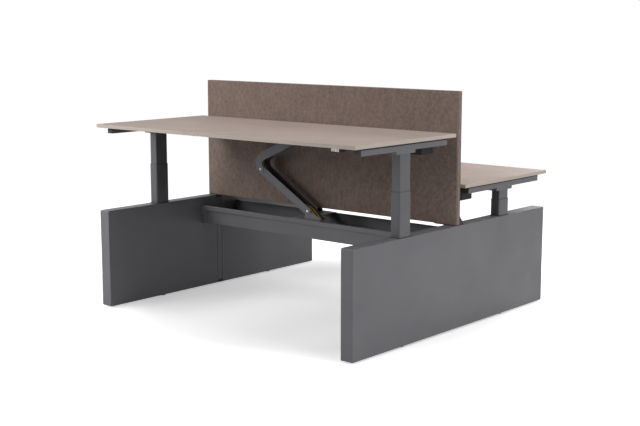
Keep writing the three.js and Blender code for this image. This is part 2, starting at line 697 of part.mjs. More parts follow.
// Bridge across the tray with a shelf beside it for each fork
function armCarrier() {
  const reach = TRAY_HALF - SHEET;
  const heel = FORK_HEEL + CARRIER_MARGIN;
  const sheet = [TRAY_TOP, CARRIER_TOP];
  const bridge = box([heel - ARM_STAGGER - MERGE, MERGE - heel], [-reach, reach], sheet);
  const shelfY = -ARM_Y + FORK_OUTER + CARRIER_MARGIN;
  const shelf = box([-heel, FORK_REACH + CARRIER_MARGIN], [-reach, shelfY], sheet);
  return bridge
    .add(shelf)
    .add(rearArm(shelf))
    .add(armFork())
    .add(rearArm(armFork()))
    .subtract(cablePort())
    .subtract(rearArm(cablePort()));
}

// Base: panels, cable strips, tray, screen
const asDrawn = (solid) => solid;
const SIDES = [['right', asDrawn, -1], ['left', turned, 1]];
for (const [side, place, front] of SIDES) {
  add(`${side}_panel`, place(panelShell()), 'steel');
  add(`${side}_front_cover`, place(panelCover(front)), 'steel');
  add(`${side}_rear_cover`, place(panelCover(-front)), 'steel');
  add(`${side}_cable_strip`, place(cableStrip()), 'steel');
  add(`${side}_tray_end`, place(trayEnd()), 'steel');
}
add('cable_tray', cableTray(), 'steel');
add('arm_carrier', armCarrier(), 'steel');
add('right_screen_bracket', screenBracket(), 'black');
add('left_screen_bracket', screenBracket().mirror([1, 0, 0]), 'black');
add('screen_board', screenBoard(0, 0), 'board');
add('screen_fabric', screenFabric(), 'fabric');

// The two desks, each on two columns
const DESKS = [
  ['front', -1, FRONT_HEIGHT, asDrawn, asDrawn],
  ['rear', 1, REAR_HEIGHT, turned, rearArm],
];
for (const [desk, sign, height, place, placeArm] of DESKS) {
  const under = height - TOP_THICK;
  const lift = height - LOWEST_HEIGHT;
  const y = sign * COLUMN_Y;
  for (const [side, turn] of [['left', -1], ['right', 1]]) {
    const x = turn * COLUMN_X;
    const name = `${desk}_${side}`;
    const floor = FLOOR_GAP + SHEET;
    const middleFoot = floor + COLUMN_FLOOR;
    const innerFoot = middleFoot + COLUMN_FLOOR;
    add(`${name}_foot`, levellingFoot(x, y), 'rubber');
    add(`${name}_column_outer`, stageTube(2, floor, PANEL_HEIGHT - SHEET, x, y), 'column');
    add(`${name}_column_middle`, stageTube(1, middleFoot + lift / 2,
      PANEL_HEIGHT + COLUMN_SHOW + lift / 2, x, y), 'column');
    add(`${name}_column_inner`, stageTube(0, innerFoot + lift, under - DRIVE_PLATE, x, y), 'column');
    add(`${name}_drive`, columnDrive(under, innerFoot + lift, x, y), 'black');
    add(`${name}_side_bar`, sideBar(under, x, y), 'steel');
  }
  add(`${desk}_crossbar`, crossbar(under, y), 'black');
  add(`${desk}_crossbar_sleeve`, crossbarSleeve(under, y), 'black');
  add(`${desk}_desktop`, desktop(height, sign * (TOP_GAP + TOP_DEPTH) / 2), 'laminate');
  add(`${desk}_control_box`, controlBox(under, sign * CONTROL_Y), 'black');
  add(`${desk}_handset`, place(handset(under)), 'white');
  add(`${desk}_button_down`, place(buttonBlock(under, -1, 0, BUTTON_DEEP)), 'black');
  add(`${desk}_button_up`, place(buttonBlock(under, 1, 0, BUTTON_DEEP)), 'black');
  add(`${desk}_lower_arm`, placeArm(lowerArm(height)), 'steel');
  add(`${desk}_upper_arm`, placeArm(upperArm(height)), 'steel');
  add(`${desk}_arm_hanger`, placeArm(armHanger(height)), 'steel');
}

export default bench;
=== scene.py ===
import json
import math

import bmesh
import bpy
from mathutils import Matrix, Vector

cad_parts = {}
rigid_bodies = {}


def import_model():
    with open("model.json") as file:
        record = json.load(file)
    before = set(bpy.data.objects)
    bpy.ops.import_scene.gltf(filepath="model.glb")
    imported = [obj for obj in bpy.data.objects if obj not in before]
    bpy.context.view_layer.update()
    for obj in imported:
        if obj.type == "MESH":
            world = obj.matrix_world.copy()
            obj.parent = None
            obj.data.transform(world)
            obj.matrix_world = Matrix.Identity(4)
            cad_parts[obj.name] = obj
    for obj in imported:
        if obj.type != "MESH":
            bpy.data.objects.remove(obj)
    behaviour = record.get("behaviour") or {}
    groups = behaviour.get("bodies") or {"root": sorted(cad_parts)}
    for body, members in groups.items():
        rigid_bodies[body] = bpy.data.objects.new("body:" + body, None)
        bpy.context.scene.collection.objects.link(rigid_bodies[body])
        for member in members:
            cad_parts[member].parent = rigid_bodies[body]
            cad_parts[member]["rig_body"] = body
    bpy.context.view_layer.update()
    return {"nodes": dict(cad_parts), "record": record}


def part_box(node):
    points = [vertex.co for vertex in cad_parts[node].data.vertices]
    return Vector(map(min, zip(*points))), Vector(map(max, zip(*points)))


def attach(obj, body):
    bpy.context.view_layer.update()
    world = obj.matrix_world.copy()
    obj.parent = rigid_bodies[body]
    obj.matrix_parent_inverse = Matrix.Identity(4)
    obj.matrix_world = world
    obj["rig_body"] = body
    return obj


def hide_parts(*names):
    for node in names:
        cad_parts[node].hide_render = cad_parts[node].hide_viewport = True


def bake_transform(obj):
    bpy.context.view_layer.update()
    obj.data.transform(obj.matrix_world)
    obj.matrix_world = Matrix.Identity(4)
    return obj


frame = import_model()

JOINT_AT = {j["name"]: Vector(j["pos_m"]) for j in frame["record"]["behaviour"]["joints"] if "pos_m" in j}
SLOT_OF = {part["node"]: part["material_slot"] for part in frame["record"]["subparts"]}
DESKS = {"front": -1, "rear": 1}
SIDES = {"left": -1, "right": 1}
X_AXIS = Vector((1, 0, 0))
Y_AXIS = Vector((0, 1, 0))
Z_AXIS = Vector((0, 0, 1))
UP = 0.9

# Rounded edges of the finished pieces, in metres.
WELD = 1e-5
FLAT = math.radians(0.5)
SHARP = math.radians(35)
EDGE_STEPS = 2
EDGE_ROUND = {
    "grey_steel": 0.0007,
    "column_steel": 0.0006,
    "black_steel": 0.0006,
    "black_plastic": 0.0009,
    "white_plastic": 0.0009,
    "button_plastic": 0.0005,
    "foot_plastic": 0.0008,
}

# Worktops.
TOP_CORNER = 0.003
TOP_EDGE = 0.0013
CORNER_STEPS = 4
BAND_THICK = 0.0012
JOINT_WIDE = 0.0004
JOINT_DEEP = 0.0003

# Screen cover.
COVER_EDGE = 0.0045
COVER_STEPS = 3
COVER_GRID = 0.037
SEAM_SETBACK = 0.0125
SEAM_HALF = 0.0016
SEAM_DEEP = 0.0018
CROWN = 0.0016
RIPPLE = 0.0005

# Cables in the arms and the tray: near to far, and how they stack in the hole at the tray's end.
CABLE_ROUND = 0.0042
CABLE_SHEATHS = (0, 1, 0, 1, 0)
CABLE_STEP = 0.0105
CABLE_LIFT = 0.0158
CABLE_SPLIT = 0.36
CABLE_GRAIN = 0.012
BEND_STEPS = 8
KNEE_BEND = 0.008
CRANK_BEND = 0.04
CRANK_LIFT = -0.002
DIP_SETBACK = 0.09
DIP_BEND = 0.025
OVER_SETBACK = 0.012
PIN_LIFT = 0.0115
PORT_REACH = 0.064
PORT_DROP = 0.045
PORT_BEND = 0.016
CRANK_LEAN = 0.002
CRANK_RISE = 0.062
ARM_LENGTH = 0.4
HEAD_RISE = 0.014
CLAMP_SETBACK = 0.042
CLAMP_SIZE = Vector((0.016, 0.0625, 0.013))
ARM_NEST = 0.003

# Small fittings.
ROUND_STEPS = 28
RING_TALL = 0.0012
RING_PLAY = 0.0002
COLLAR_REACH = 0.0045
CAP_THICK = 0.0014
CAP_RIM = 0.0014
# A painted shadow line along the top of the side bars, under the worktop's edge.
SHADOW_LINE_TALL = 0.009
SHADOW_LINE_THICK = 0.0008
# The black band along the handset's bottom is painted shade.
HANDSET_SHADE_BAND = 0.003
HANDSET_END = 0.0012
ARROW_REACH = 0.0026
ARROW_TALL = 0.0003
BAR_WIDE = 0.038
COVER_MARGIN = 0.006
COVER_THICK = 0.0012
SCREW_INSET = 0.014
SCREW_ROUND = 0.0032
SCREW_TALL = 0.0014
SOCKETS = 4
SOCKET_STEP = 0.019
SOCKET_HALF = 0.007
SOCKET_RIM = 0.0016
SOCKET_TALL = 0.0014
BAR_TALL = 0.035


# ---------------------------------------------------------------- finishes


def linear(red, green, blue):
    """A colour in screen values from 0 to 255, as the linear values that a shader takes."""
    return [((value / 255 + 0.055) / 1.055) ** 2.4 for value in (red, green, blue)] + [1.0]


def add_node(tree, kind, inputs=None, **settings):
    """A shader node, with its settings, and its inputs set to values or linked to other nodes' outputs."""
    node = tree.nodes.new(kind)
    for name, value in settings.items():
        setattr(node, name, value)
    for socket, value in (inputs or {}).items():
        if isinstance(value, bpy.types.NodeSocket):
            tree.links.new(value, node.inputs[socket])
        else:
            node.inputs[socket].default_value = value
    return node


def noise(tree, vector, scale, detail=2.0):
    return add_node(tree, "ShaderNodeTexNoise", {"Vector": vector, "Scale": scale, "Detail": detail}).outputs[0]


def calculate(tree, operation, first, second):
    return add_node(tree, "ShaderNodeMath", {0: first, 1: second}, operation=operation).outputs[0]


def spread(tree, value, low, high, start=0.3, end=0.7):
    """A noise value, which keeps near its middle, stretched to run from low to high."""
    ends = {"Value": value, "From Min": start, "From Max": end, "To Min": low, "To Max": high}
    return add_node(tree, "ShaderNodeMapRange", ends).outputs[0]


def mix_colours(tree, share, first, second, blend="MIX"):
    ends = {0: share, 6: first, 7: second}
    return add_node(tree, "ShaderNodeMix", ends, data_type="RGBA", blend_type=blend).outputs[2]


def new_group(name, inputs, outputs):
    """An empty node group with its sockets, and the sockets inside it."""
    tree = bpy.data.node_groups.new(name, "ShaderNodeTree")
    for label, kind in inputs.items():
        tree.interface.new_socket(label, in_out="INPUT", socket_type=kind)
    for label, kind in outputs.items():
        tree.interface.new_socket(label, in_out="OUTPUT", socket_type=kind)
    return tree, add_node(tree, "NodeGroupInput").outputs, add_node(tree, "NodeGroupOutput").inputs


def make_surface_tone():
    """Colour with a slow drift, fine flecks and a painted highlight that lightens the rounded edges in patches."""
    value, vector, colour = "NodeSocketFloat", "NodeSocketVector", "NodeSocketColor"
    inputs = {"Vector": vector, "Colour": colour, "Fleck Scale": value, "Fleck Depth": value, "Painted Edge Highlight": value}
    tree, given, made = new_group("surface tone", inputs, {"Colour": colour})
    drift = spread(tree, noise(tree, given["Vector"], 2.6, 3.0), 0.955, 1.045)
    fleck = spread(tree, noise(tree, given["Vector"], given["Fleck Scale"], 1.0), -1.0, 1.0)
    shade = calculate(tree, "MULTIPLY_ADD", fleck, given["Fleck Depth"])
    tree.links.new(drift, shade.node.inputs[2])
    grey = add_node(tree, "ShaderNodeCombineColor", {"Red": shade, "Green": shade, "Blue": shade}).outputs[0]
    toned = mix_colours(tree, 1.0, given["Colour"], grey, "MULTIPLY")
    # Painted highlight: the marked edge strips are mixed towards a pale grey, broken up by noise.
    edge = add_node(tree, "ShaderNodeAttribute", attribute_name="edge").outputs["Fac"]
    highlight_breakup = spread(tree, noise(tree, given["Vector"], 38.0, 3.0), 0.25, 1.0)
    lift = calculate(tree, "MULTIPLY", calculate(tree, "MULTIPLY", edge, highlight_breakup), given["Painted Edge Highlight"])
    tree.links.new(mix_colours(tree, lift, toned, (0.8, 0.79, 0.77, 1.0)), made["Colour"])
    return tree


def make_surface_feel():
    """The fine relief of a surface, and a gloss that varies where hands and cloths have been."""
    value, vector = "NodeSocketFloat", "NodeSocketVector"
    inputs = {"Vector": vector, "Grain Scale": value, "Glossiest": value, "Roughest": value}
    tree, given, made = new_group("surface feel", inputs, {"Roughness": value, "Height": value})
    smears = noise(tree, given["Vector"], 6.0, 4.0)
    share = spread(tree, smears, 0.0, 1.0)
    gloss = add_node(tree, "ShaderNodeMix", {0: share, 2: given["Glossiest"], 3: given["Roughest"]}).outputs[0]
    tree.links.new(gloss, made["Roughness"])
    tree.links.new(noise(tree, given["Vector"], given["Grain Scale"], 2.0), made["Height"])
    return tree


surface_tone = make_surface_tone()
surface_feel = make_surface_feel()


def new_finish(name):
    """A new material: its node tree, its shader and the piece's own coordinates."""
    material = bpy.data.materials.new(name)
    material.use_nodes = True
    tree = material.node_tree
    return material, tree, tree.nodes["Principled BSDF"], add_node(tree, "ShaderNodeTexCoord").outputs["Object"]


def hard_finish(name, colour, flecks, grain, gloss, edge=0.12, specular=0.4, metallic=0.0):
    """A painted, moulded or plated surface. flecks: scale and depth; grain: scale and height; gloss: roughness range."""
    material, tree, shader, place = new_finish(name)
    tone = add_node(tree, "ShaderNodeGroup", node_tree=surface_tone)
    feel = add_node(tree, "ShaderNodeGroup", node_tree=surface_feel)
    # edge sets how strongly the painted highlight lightens the rounded edges.
    values = {"Colour": colour, "Fleck Scale": flecks[0], "Fleck Depth": flecks[1], "Painted Edge Highlight": edge}
    for socket, value in values.items():
        tone.inputs[socket].default_value = value
    values = {"Grain Scale": grain[0], "Glossiest": gloss[0], "Roughest": gloss[1]}
    for socket, value in values.items():
        feel.inputs[socket].default_value = value
    for group in (tone, feel):
        tree.links.new(place, group.inputs["Vector"])
    bump = add_node(tree, "ShaderNodeBump", {"Height": feel.outputs["Height"], "Strength": 0.5, "Distance": grain[1]})
    tree.links.new(tone.outputs["Colour"], shader.inputs["Base Color"])
    tree.links.new(feel.outputs["Roughness"], shader.inputs["Roughness"])
    tree.links.new(bump.outputs["Normal"], shader.inputs["Normal"])
    shader.inputs["Specular IOR Level"].default_value = specular
    shader.inputs["Metallic"].default_value = metallic
    return material


def screen_cloth(name, dark, light):
    """Felted wool: a soft twill under loose fibres of several shades, streaked along the warp."""
    material, tree, shader, place = new_finish(name)
    warp = add_node(tree, "ShaderNodeMapping", {"Vector": place, "Scale": (1.0, 1.0, 0.8)}).outputs[0]
    fibres = noise(tree, warp, 620.0, 4.0)
    tufts = noise(tree, warp, 90.0, 2.0)
    blotches = noise(tree, warp, 46.0, 2.0)
    clouds = noise(tree, warp, 11.0, 3.0)
    twill = add_node(
        tree,
        "ShaderNodeTexWave",
        {"Vector": place, "Scale": 150.0, "Distortion": 2.5, "Detail": 2.0, "Detail Scale": 3.0},
        bands_direction="DIAGONAL",
    ).outputs["Fac"]
    woven = spread(tree, twill, 0.42, 0.58, 0.0, 1.0)
    for shade, depth in ((fibres, 0.12), (tufts, 0.19), (blotches, 0.14), (clouds, 0.08)):
        woven = calculate(tree, "ADD", woven, spread(tree, shade, -depth, depth))
    colour = mix_colours(tree, woven, dark, light)
    pile = calculate(tree, "ADD", spread(tree, twill, 0.0, 0.45, 0.0, 1.0), spread(tree, fibres, 0.0, 0.55))
    bump = add_node(tree, "ShaderNodeBump", {"Height": pile, "Strength": 0.6, "Distance": 0.0007})
    tree.links.new(colour, shader.inputs["Base Color"])
    tree.links.new(spread(tree, tufts, 0.88, 0.98), shader.inputs["Roughness"])
    tree.links.new(bump.outputs["Normal"], shader.inputs["Normal"])
    shader.inputs["Specular IOR Level"].default_value = 0.15
    shader.inputs["Sheen Weight"].default_value = 0.18
    shader.inputs["Sheen Roughness"].default_value = 0.55
    shader.inputs["Sheen Tint"].default_value = (1.0, 0.94, 0.9, 1.0)
    return material


FINISH = {
    "grey_steel": hard_finish(
        "graphite powder coat", linear(99, 98, 102), (900, 0.07), (1500, 0.0002), (0.42, 0.56)
    ),
    "column_steel": hard_finish(
        "column powder coat", linear(83, 83, 86), (900, 0.06), (1700, 0.00015), (0.38, 0.5)
    ),
    "black_steel": hard_finish(
        "black powder coat", linear(38, 38, 40), (900, 0.1), (1300, 0.0002), (0.48, 0.62), 0.08, 0.25
    ),
    "drive_steel": hard_finish(
        "machined steel", linear(165, 165, 168), (300, 0.05), (2200, 0.0001), (0.28, 0.42), 0.1, 0.5, 1.0
    ),
    "board": hard_finish("raw board", linear(176, 148, 116), (420, 0.16), (380, 0.0006), (0.8, 0.92), 0.05, 0.2),
    "laminate": hard_finish(
        "sand laminate", linear(171, 156, 147), (1100, 0.035), (820, 0.00012), (0.58, 0.72), 0.0, 0.12
    ),
    "screen_fabric": screen_cloth("screen wool", linear(103, 88, 80), linear(148, 130, 121)),
    "black_plastic": hard_finish(
        "black moulded plastic", linear(30, 30, 32), (700, 0.1), (1100, 0.0003), (0.5, 0.66), 0.06, 0.22
    ),
    "white_plastic": hard_finish(
        "white moulded plastic", linear(226, 226, 224), (800, 0.02), (1200, 0.0001), (0.32, 0.44), 0.0, 0.4
    ),
    "button_plastic": hard_finish(
        "button plastic", linear(206, 206, 205), (800, 0.02), (1000, 0.0001), (0.36, 0.5), 0.0, 0.4
    ),
    "foot_plastic": hard_finish(
        "foot plastic", linear(34, 34, 35), (500, 0.1), (700, 0.0003), (0.55, 0.72), 0.05, 0.2
    ),
}
edge_band = hard_finish("edge band", linear(188, 176, 167), (1300, 0.03), (900, 0.0001), (0.5, 0.64), 0.0, 0.2)
backing = hard_finish("backing sheet", linear(118, 109, 103), (700, 0.05), (600, 0.0002), (0.55, 0.7), 0.0, 0.25)
zinc = hard_finish("bright zinc", linear(176, 178, 180), (260, 0.06), (900, 0.0001), (0.3, 0.44), 0.1, 0.5, 1.0)
# Darker wool for the faces along the seams: painted shade in the seam grooves.
seam_shade_cloth = screen_cloth("seam shade wool", linear(58, 49, 45), linear(88, 76, 70))
cap_plastic = hard_finish("cap plastic", linear(72, 70, 72), (700, 0.08), (1100, 0.0002), (0.5, 0.66), 0.06, 0.22)
glide_plastic = hard_finish("glide plastic", linear(74, 74, 77), (700, 0.06), (1100, 0.0002), (0.46, 0.6), 0.06, 0.25)
cable_sheaths = (
    hard_finish("black cable sheath", linear(26, 26, 27), (600, 0.08), (900, 0.0001), (0.4, 0.54), 0.0, 0.3),
    hard_finish("ochre cable sheath", linear(204, 168, 96), (600, 0.06), (900, 0.0001), (0.4, 0.54), 0.0, 0.35),
)
arrow_ink = hard_finish("arrow print", linear(60, 60, 62), (600, 0.05), (900, 0.0001), (0.45, 0.6), 0.0, 0.3)


# ---------------------------------------------------------------- making pieces


def new_piece(name, bm, body, slot, *materials):
    """A finished piece from a bmesh: smooth faces, flat where they are large. It rides on its body, if it has one."""
    for face in bm.faces:
        face.smooth = True
    mesh = bpy.data.meshes.new(name)
    bm.to_mesh(mesh)
    bm.free()
    for material in materials:
        mesh.materials.append(material)
    piece = bpy.data.objects.new(name, mesh)
    bpy.context.scene.collection.objects.link(piece)
    shading = piece.modifiers.new("flat faces", "WEIGHTED_NORMAL")
    shading.weight = 100
    if body:
        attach(piece, body)
    return piece


def rounded_copy(node):
    """A copy of a CAD node's mesh with its sheared and moulded edges rounded and marked."""
    bm = bmesh.new()
    bm.from_mesh(frame["nodes"][node].data)
    bmesh.ops.remove_doubles(bm, verts=bm.verts, dist=WELD)
    bmesh.ops.dissolve_limit(bm, angle_limit=FLAT, verts=bm.verts, edges=bm.edges)
    # This layer marks the rounded edge strips, which the finishes lighten with a painted highlight.
    edge = bm.verts.layers.float.new("edge")
    sharp = [e for e in bm.edges if e.is_manifold and e.calc_face_angle() > SHARP]
    rounded = bmesh.ops.bevel(
        bm,
        geom=sharp,
        offset=EDGE_ROUND[SLOT_OF[node]],
        segments=EDGE_STEPS,
        profile=0.5,
        affect="EDGES",
        clamp_overlap=True,
        material=-1,
    )
    strips = set(rounded["faces"])
    for vert in rounded["verts"]:
        if strips.issuperset(vert.link_faces):
            vert[edge] = 1.0
    return bm


def finish_node(node, bm, *materials):
    """A finished piece that takes a CAD node's place on its body."""
    piece = new_piece(node + "_finished", bm, frame["nodes"][node]["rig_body"], SLOT_OF[node], *materials)
    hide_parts(node)


def add_block(bm, low, high):
    """A block between two corners, added to a bmesh. Returns its vertices."""
    low, high = Vector(low), Vector(high)
    place = Matrix.LocRotScale((low + high) / 2, None, high - low)
    return bmesh.ops.create_cube(bm, size=1.0, matrix=place)["verts"]


def cut_across(bm, at, axis):
    geometry = bm.verts[:] + bm.edges[:] + bm.faces[:]
    bmesh.ops.bisect_plane(bm, geom=geometry, dist=1e-7, plane_co=at, plane_no=axis)


def edges_of(verts):
    return list({edge for vert in verts for edge in vert.link_edges})


def faces_of(verts):
    return list({face for vert in verts for face in vert.link_faces})


def along(edges, axis):
    """Those edges that run along an axis."""
    return [e for e in edges if abs((e.verts[1].co - e.verts[0].co).normalized().dot(axis)) > UP]


def facing(faces, axis):
    """Those faces that look along an axis."""
    return [face for face in faces if face.normal.dot(axis) > UP]


def round_edges(bm, edges, radius, steps):
    return bmesh.ops.bevel(
        bm,
        geom=edges,
        offset=radius,
        segments=steps,
        profile=0.5,
        affect="EDGES",
        clamp_overlap=True,
        material=-1,
    )


def worktop(desk):
    """A laminated board with an edge band all round; a fine joint line shows between band and surface."""
    node = desk + "_desktop"
    low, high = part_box(node)
    bm = bmesh.new()
    verts = add_block(bm, low, high)
    round_edges(bm, along(edges_of(verts), Z_AXIS), TOP_CORNER, CORNER_STEPS)
    bm.normal_update()
    rims = {edge for axis in (Z_AXIS, -Z_AXIS) for face in facing(bm.faces, axis) for edge in face.edges}
    round_edges(bm, list(rims), TOP_EDGE, EDGE_STEPS)
    bm.normal_update()
    for face in bm.faces:
        face.material_index = 1
    top = facing(bm.faces, Z_AXIS)
    bmesh.ops.inset_region(bm, faces=top, thickness=BAND_THICK, use_even_offset=True)
    for depth in (-JOINT_DEEP, JOINT_DEEP):
        bmesh.ops.inset_region(bm, faces=top, thickness=JOINT_WIDE, depth=depth, use_even_offset=True)
    for face in top:
        face.material_index = 0
    for face in facing(bm.faces, -Z_AXIS):
        face.material_index = 2
    piece = new_piece(node + "_board", bm, desk + "_desk", "laminate", FINISH["laminate"], edge_band, backing)
    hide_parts(node)
    return piece


def screen_cover():
    """The screen's cloth: two faces and a boxing strip round the edge, sewn together by a seam along each side. The
    faces along each seam take a darker wool: painted shade in the seam.
    """
    node = "screen_fabric"
    low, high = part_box(node)
    middle, half = (low + high) / 2, (high - low) / 2
    bm = bmesh.new()
    verts = add_block(bm, low, high)
    round_edges(bm, edges_of(verts), COVER_EDGE, COVER_STEPS)
    for axis, reach in ((X_AXIS, half.x), (Z_AXIS, half.z)):
        count = round(2 * reach / COVER_GRID)
        for step in range(1, count):
            cut_across(bm, middle + axis * (2 * reach * step / count - reach), axis)
    for side in (-1, 1):
        for offset in (-SEAM_HALF, 0.0, SEAM_HALF):
            cut_across(bm, middle + Y_AXIS * side * (SEAM_SETBACK + offset), Y_AXIS)
    bm.normal_update()
    for vert in bm.verts:
        place = vert.co - middle
        across, up, through = place.x / half.x, place.z / half.z, place.y / half.y
        if abs(through) > UP:
            swell = (1 - across ** 8) * (1 - up ** 6)
            wave = math.sin(9.1 * across + 1.3) * math.sin(5.3 * up + 0.7) + math.sin(23.0 * across + 3.1 * up)
            share = (abs(through) - UP) / (1 - UP)
            vert.co.y += math.copysign(share, through) * ((swell - 1) * CROWN + swell * wave * RIPPLE / 2)
        elif abs(abs(place.y) - SEAM_SETBACK) < SEAM_HALF / 2:
            vert.co -= vert.normal * SEAM_DEEP
    # Painted shade: the faces along the seams take the darker wool.
    for face in bm.faces:
        setback = abs(face.calc_center_median().y - middle.y)
        face.material_index = int(abs(setback - SEAM_SETBACK) < SEAM_HALF)
    piece = new_piece("screen_cover", bm, "base", node, FINISH[node], seam_shade_cloth)
    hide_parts(node)
    return piece


def add_disc(bm, centre, axis, radius, tall, edge):
    """A round disc standing on a point along an axis, with its free rim rounded. Returns its outer face."""
    turn = axis.to_track_quat("Z", "Y").to_matrix().to_4x4()
    place = Matrix.Translation(Vector(centre) + axis * tall / 2) @ turn
    verts = bmesh.ops.create_cone(
        bm,
        cap_ends=True,
        segments=ROUND_STEPS,
        radius1=radius,
        radius2=radius,
        depth=tall,
        matrix=place,
    )["verts"]
    bm.normal_update()
    cap = facing(faces_of(verts), axis)[0]
    round_edges(bm, list(cap.edges), edge, EDGE_STEPS)
    bm.normal_update()
    reach = Vector(centre) + axis * tall
    return min(facing(bm.faces, axis), key=lambda face: (face.calc_center_median() - reach).length)


def add_screw(bm, centre, axis, radius, tall):
    """A pan head screw with a socket in its head."""
    cap = add_disc(bm, centre, axis, radius, tall, tall * 0.35)
    bmesh.ops.inset_region(bm, faces=[cap], thickness=radius * 0.35)
    bmesh.ops.inset_region(bm, faces=[cap], thickness=radius * 0.04, depth=-tall * 0.6)


def add_ring(bm, low, high, corner, wall):
    """A flat ring with rounded corners, open in the middle."""
    verts = add_block(bm, low, high)
    bm.normal_update()
    made = round_edges(bm, along(edges_of(verts), Z_AXIS), corner, CORNER_STEPS)
    ring = {face for vert in made["verts"] for face in vert.link_faces}
    bm.normal_update()
    caps = [face for face in ring if abs(face.normal.z) > UP]
    bmesh.ops.inset_individual(bm, faces=caps, thickness=wall, use_even_offset=True)
    inner = [edge for face in caps for edge in face.edges]
    bmesh.ops.delete(bm, geom=caps, context="FACES_ONLY")
    bmesh.ops.bridge_loops(bm, edges=inner)


def column_rings():
    """Glide rings where a thinner tube leaves a wider one, and collars where the columns leave the panels."""
    collars = bmesh.new()
    panel_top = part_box("right_panel")[1].z
    for desk in DESKS:
        rings = bmesh.new()
        for side in SIDES:
            inner_low, inner_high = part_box(f"{desk}_{side}_column_inner")
            low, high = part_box(f"{desk}_{side}_column_middle")
            ring_low = Vector((low.x + RING_PLAY, low.y + RING_PLAY, high.z))
            ring_high = Vector((high.x - RING_PLAY, high.y - RING_PLAY, high.z + RING_TALL))
            add_ring(rings, ring_low, ring_high, 0.0052, inner_low.x - RING_PLAY - ring_low.x)
            reach = Vector((COLLAR_REACH, COLLAR_REACH, 0))
            collar_low = Vector((low.x, low.y, panel_top)) - reach
            collar_high = Vector((high.x, high.y, panel_top + RING_TALL)) + reach
            add_ring(collars, collar_low, collar_high, 0.009, COLLAR_REACH - RING_PLAY)
        new_piece(desk + "_glide_rings", rings, desk + "_middle_stage", "black_plastic", glide_plastic)
    new_piece("panel_collars", collars, "base", "black_plastic", FINISH["black_plastic"])


def handset(desk):
    """A white handset with black end covers, and black along its lowest few millimetres: painted shade under the
    shell.
    """
    node = desk + "_handset"
    low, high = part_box(node)
    base, ends = low.z + HANDSET_SHADE_BAND, (low.x + HANDSET_END, high.x - HANDSET_END)
    bm = rounded_copy(node)
    cut_across(bm, Z_AXIS * base, Z_AXIS)
    for end in ends:
        cut_across(bm, X_AXIS * end, X_AXIS)
    # Faces low down take the black as painted shade; faces on the ends take the black of the end covers.
    for face in bm.faces:
        place = face.calc_center_median()
        if place.z < base or not ends[0] < place.x < ends[1]:
            face.material_index = 1
    finish_node(node, bm, FINISH["white_plastic"], FINISH["black_plastic"])


def button_arrows(desk):
    """A raised arrow on each button of a handset, pointing the way that the worktop goes."""
    out = Y_AXIS * DESKS[desk]
    for way, up in (("down", -1), ("up", 1)):
        body = f"{desk}_button_{way}"
        low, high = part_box(body)
        face = (low + high) / 2
        face.y = high.y if out.y > 0 else low.y
        bm = bmesh.new()
        turn = Matrix((X_AXIS * up, Z_AXIS * up, -Y_AXIS)).transposed().to_4x4()
        place = Matrix.Translation(face) @ turn
        made = bmesh.ops.create_circle(bm, cap_ends=True, segments=3, radius=ARROW_REACH, matrix=place)["verts"]
        raised = bmesh.ops.extrude_face_region(bm, geom=faces_of(made))["geom"]
        bmesh.ops.translate(bm, vec=out * ARROW_TALL, verts=[v for v in raised if isinstance(v, bmesh.types.BMVert)])
        bmesh.ops.recalc_face_normals(bm, faces=bm.faces)
        new_piece(body + "_arrow", bm, body, "black_plastic", arrow_ink)


def box_fittings(desk):
    """A screwed cover on a control box, and a row of sockets on its inner end."""
    low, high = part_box(desk + "_control_box")
    middle = (low + high) / 2
    inward = X_AXIS if middle.x < 0 else -X_AXIS
    cover, screws, sockets = bmesh.new(), bmesh.new(), bmesh.new()
    margin = Vector((COVER_MARGIN, COVER_MARGIN, 0))
    corner, face = low + margin - Z_AXIS * COVER_THICK, high - margin
    verts = add_block(cover, corner, (face.x, face.y, low.z))
    round_edges(cover, along(edges_of(verts), Z_AXIS), COVER_MARGIN / 2, CORNER_STEPS)
    for x in (low.x + SCREW_INSET, high.x - SCREW_INSET):
        for y in (low.y + SCREW_INSET, high.y - SCREW_INSET):
            add_screw(screws, (x, y, corner.z), -Z_AXIS, SCREW_ROUND, SCREW_TALL)
    end = low.x if inward.x < 0 else high.x
    for index in range(SOCKETS):
        across = middle.y + (index - (SOCKETS - 1) / 2) * SOCKET_STEP
        wide = sorted((end, end + inward.x * SOCKET_TALL))
        add_block(
            sockets,
            (wide[0], across - SOCKET_HALF, middle.z - SOCKET_HALF),
            (wide[1], across + SOCKET_HALF, middle.z + SOCKET_HALF),
        )
    sockets.normal_update()
    mouths = facing(sockets.faces, inward)
    bmesh.ops.inset_individual(sockets, faces=mouths, thickness=SOCKET_RIM)
    bmesh.ops.inset_individual(sockets, faces=mouths, thickness=SOCKET_RIM / 4, depth=-SOCKET_TALL * UP)
    new_piece(desk + "_box_cover", cover, desk + "_desk", "black_plastic", FINISH["black_plastic"])
    new_piece(desk + "_box_screws", screws, desk + "_desk", "drive_steel", zinc)
    new_piece(desk + "_box_sockets", sockets, desk + "_desk", "black_plastic", cap_plastic)


def bar_shadow_strips(desk):
    """Black strips along the top of the side bars' outer faces, just under the worktop: a painted shadow line for the
    shade under its edge.
    """
    bm = bmesh.new()
    for side, sign in SIDES.items():
        low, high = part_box(f"{desk}_{side}_side_bar")
        outer = low.x if sign < 0 else high.x
        wide = sorted((outer, outer + sign * SHADOW_LINE_THICK))
        verts = add_block(bm, (wide[0], low.y, high.z - SHADOW_LINE_TALL), (wide[1], high.y, high.z))
        round_edges(bm, along(edges_of(verts), Y_AXIS), SHADOW_LINE_THICK / 4, EDGE_STEPS)
    new_piece(desk + "_bar_shadow_strips", bm, desk + "_desk", "black_plastic", FINISH["black_plastic"])


